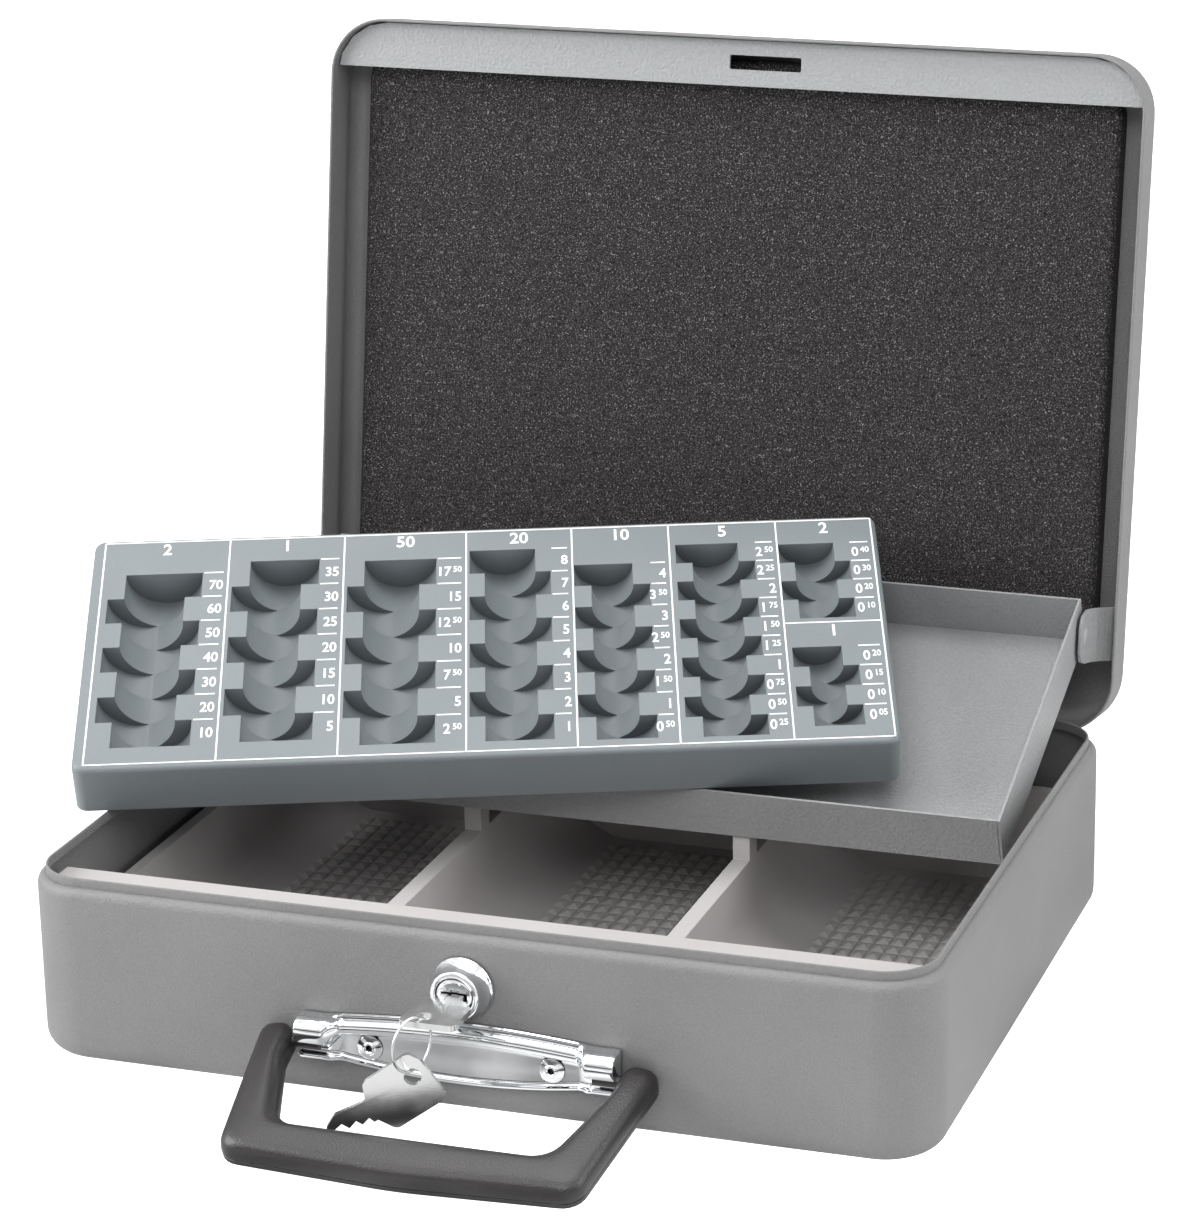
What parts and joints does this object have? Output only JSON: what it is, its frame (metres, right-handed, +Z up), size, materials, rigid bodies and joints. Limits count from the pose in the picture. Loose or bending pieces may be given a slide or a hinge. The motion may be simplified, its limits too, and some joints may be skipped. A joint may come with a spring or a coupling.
{
  "type": "coin counting cash box",
  "caption": "Steel cash box with hinged lid on top, a lifting note tray, a loose coin counting tray, a compartment insert, a cam lock with keys and a folding carry handle.",
  "frame": {"origin": "middle of the flat underside of the base", "axes": "+Z up, front with lock and handle towards -Y, lid opens back towards +Y"},
  "size_m": [0.3433, 0.3566, 0.289],
  "materials": {
    "body_paint": "fine textured powder coat, mid grey",
    "tray_paint": "smooth satin grey paint",
    "plate_steel": "satin grey",
    "insert_plastic": "fine matt moulded plastic, warm light grey",
    "coin_plastic": "matt moulded plastic, blue grey, white printed scales",
    "foam": "dark open cell foam",
    "chrome": "polished chrome plate",
    "key_metal": "nickel plate",
    "zinc": "zinc plate",
    "grip_plastic": "grained dark brown plastic"
  },
  "bodies": {
    "base": {"base_shell": "body_paint", "cash_insert": "insert_plastic", "lock_collar": "chrome", "lock_nut": "zinc", "handle_bracket": "chrome", "bracket_rivet_left": "chrome", "bracket_rivet_right": "chrome", "base_leaf_left": "body_paint", "base_leaf_right": "body_paint", "hinge_pin_left": "zinc", "hinge_pin_right": "zinc"},
    "lid": {"lid_shell": "body_paint", "strike_plate": "plate_steel", "foam_pad": "foam", "lid_leaf_left": "body_paint", "lid_leaf_right": "body_paint", "tray_tab_left": "tray_paint", "tray_tab_right": "tray_paint", "tab_rivet_left": "zinc", "tab_rivet_right": "zinc"},
    "notes": {"note_tray": "tray_paint"},
    "coins": {"coin_tray": "coin_plastic"},
    "handle": {"handle_grip": "grip_plastic"},
    "lock": {"lock_plug": "chrome", "lock_cam": "zinc", "cam_screw": "zinc", "key_in_lock": "key_metal"},
    "ring": {"key_ring": "key_metal"},
    "spare": {"spare_key": "key_metal"}
  },
  "joints": [
    {"name": "lid_hinge", "type": "hinge", "parent": "base", "child": "lid", "pos_m": [0, 0.118, 0.0565], "axis": [-1, 0, 0], "range_deg": [-99.15, 0]},
    {"name": "note_tray_hinge", "type": "hinge", "parent": "lid", "child": "notes", "pos_m": [0, 0.12103, 0.09221], "axis": [-1, 0, 0], "range_deg": [0, 118.78]},
    {"name": "coin_tray_lift", "type": "slide", "parent": "base", "child": "coins", "axis": [0, -0.9659, 0.2588], "range_m": [0, 0.3]},
    {"name": "handle_swing", "type": "hinge", "parent": "base", "child": "handle", "pos_m": [0, -0.1236, 0.0205], "axis": [-1, 0, 0], "range_deg": [0, 100]},
    {"name": "lock_turn", "type": "hinge", "parent": "base", "child": "lock", "pos_m": [0.001, -0.118, 0.043], "axis": [0, -1, 0], "range_deg": [0, 90]},
    {"name": "ring_swing", "type": "hinge", "parent": "lock", "child": "ring", "pos_m": [-0.0015, -0.1435, 0.043], "axis": [-0.9367, 0.3502, 0], "range_deg": [-3, 3]},
    {"name": "spare_key_swing", "type": "hinge", "parent": "ring", "child": "spare", "pos_m": [-0.00354, -0.14895, 0.0283], "axis": [-0.3502, -0.9367, 0], "range_deg": [-8, 0]}
  ],
  "couplings": [
    {"joint": "note_tray_hinge", "follows": "lid_hinge", "ratio": -1.198},
    {"joint": "coin_tray_lift", "follows": "lid_hinge", "m_per_rad": -0.17336}
  ]
}
